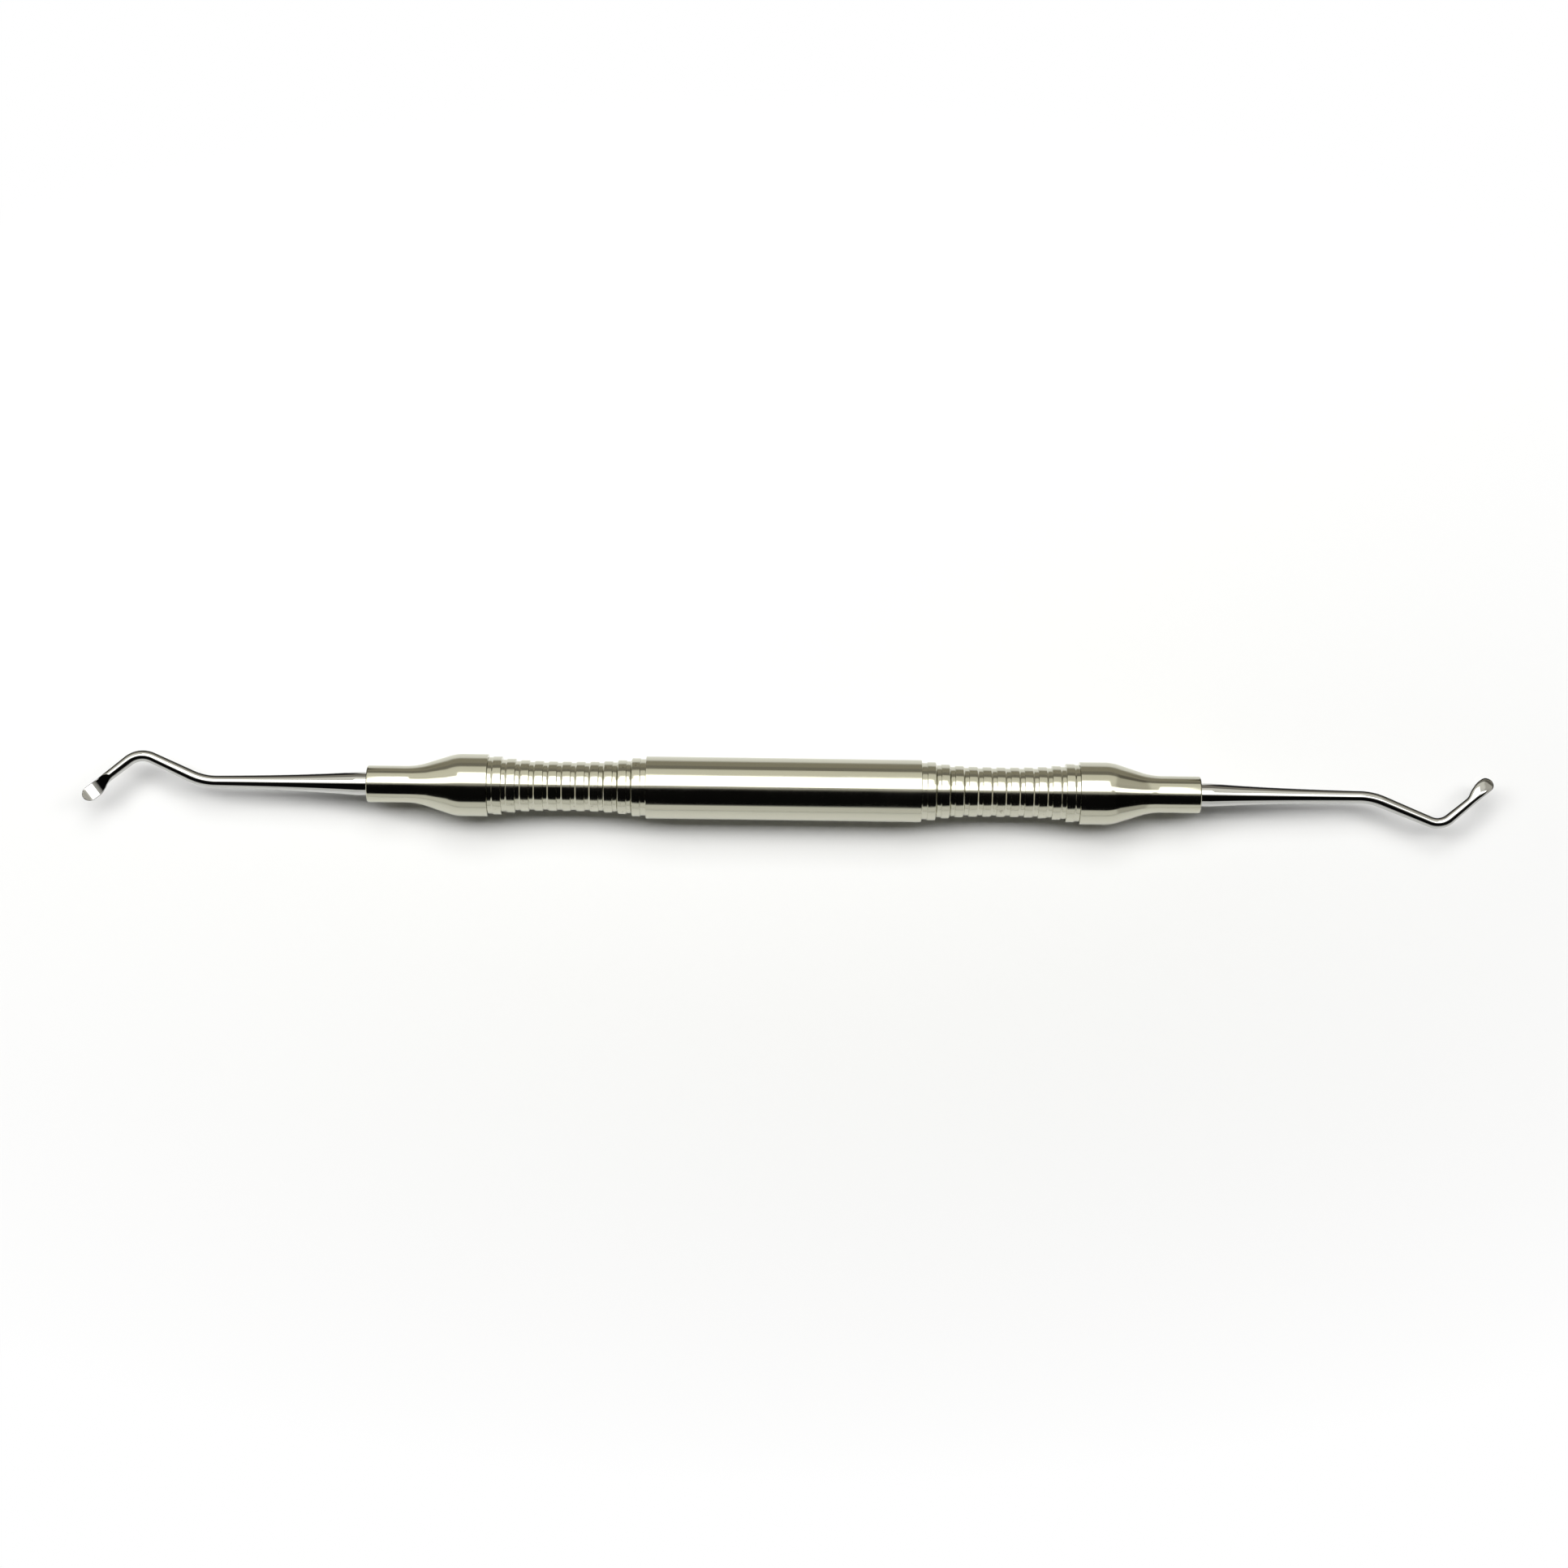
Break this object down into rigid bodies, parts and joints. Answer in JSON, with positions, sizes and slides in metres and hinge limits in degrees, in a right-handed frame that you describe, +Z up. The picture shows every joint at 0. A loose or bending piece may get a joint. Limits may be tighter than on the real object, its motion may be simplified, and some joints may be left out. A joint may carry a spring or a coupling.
{
  "type": "hand scaler",
  "caption": "Double-ended dental hand instrument: hollow handle with grooved waisted grips, S-shaped nose cones and bent tapered shanks ending in small round-toed spoon blades.",
  "frame": {"origin": "middle of the handle's length, on the handle's axis", "axes": "+X along the handle; +Z up as the instrument lies on a table; both working ends are bent in the XY plane"},
  "size_m": [0.1807, 0.008, 0.008],
  "materials": {
    "handle_steel": "fine satin polish",
    "mirror_steel": "mirror polish"
  },
  "bodies": {
    "root": {"handle_tube": "handle_steel", "nose_cone_left": "handle_steel", "nose_cone_right": "handle_steel", "working_end_left": "mirror_steel", "working_end_right": "mirror_steel"}
  },
  "joints": []
}
